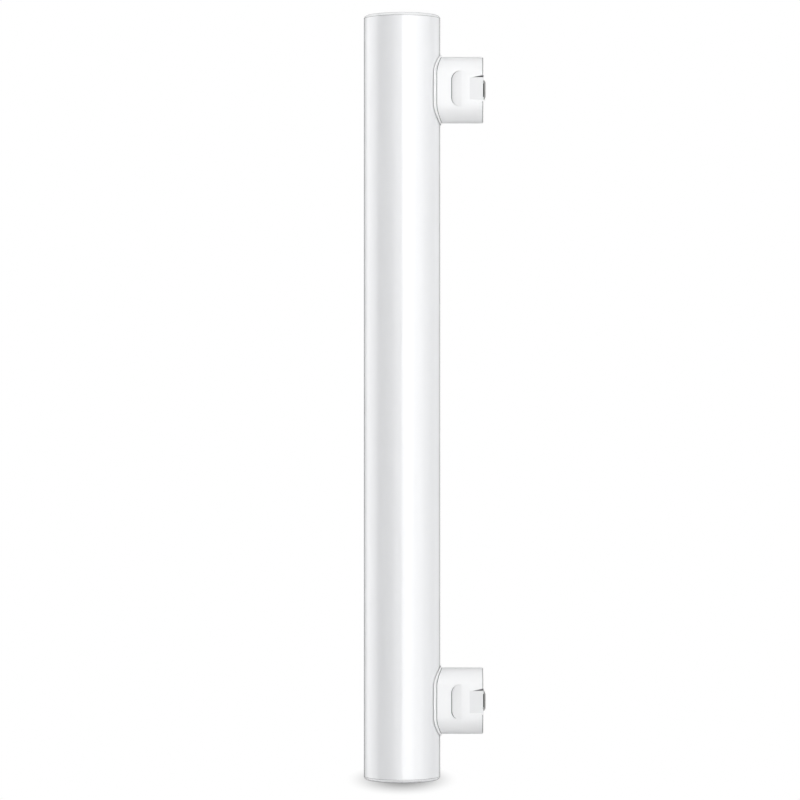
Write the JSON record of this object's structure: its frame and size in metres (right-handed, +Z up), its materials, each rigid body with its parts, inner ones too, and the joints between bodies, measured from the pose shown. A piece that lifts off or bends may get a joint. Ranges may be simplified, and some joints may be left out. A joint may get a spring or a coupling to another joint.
{
  "type": "tubular light bulb",
  "caption": "Linear lamp with a glossy opal tube, push-in end caps and side socket blocks that carry flat contacts.",
  "frame": {"origin": "centre of the bottom cap's outer face, on the tube's axis", "axes": "+Z runs up the tube's axis, +X points out through the socket blocks"},
  "size_m": [0.048, 0.03, 0.3],
  "materials": {
    "opal_tube": "glossy opal white",
    "cap_plastic": "smooth white",
    "block_plastic": "satin white moulding",
    "contact_metal": "plated strip",
    "lead_insulation": "white insulation",
    "rail_aluminium": "mill finish",
    "tape_film": "grey film",
    "board_laminate": "white solder resist",
    "source_resin": "yellow resin",
    "sheet_film": "amber film",
    "driver_laminate": "green solder resist",
    "pin_metal": "tinned",
    "black_moulding": "moulded case",
    "resistor_coat": "fireproof coat",
    "capacitor_sleeve": "shrunk sleeve",
    "varistor_coat": "dipped coat"
  },
  "bodies": {
    "root": {"diffuser_tube": "opal_tube", "bottom_end_cap": "cap_plastic", "top_end_cap": "cap_plastic", "upper_socket_block": "block_plastic", "lower_socket_block": "block_plastic", "upper_contact": "contact_metal", "lower_contact": "contact_metal", "upper_lead": "lead_insulation", "lower_lead": "lead_insulation", "board_rail": "rail_aluminium", "thermal_tape": "tape_film", "light_board": "board_laminate", "light_sources": "source_resin", "insulating_sheet": "sheet_film", "driver_board": "driver_laminate", "link_pins": "pin_metal", "bridge_rectifier": "black_moulding", "current_regulator": "black_moulding", "fusible_resistor": "resistor_coat", "smoothing_capacitor": "capacitor_sleeve", "surge_varistor": "varistor_coat"}
  },
  "joints": []
}
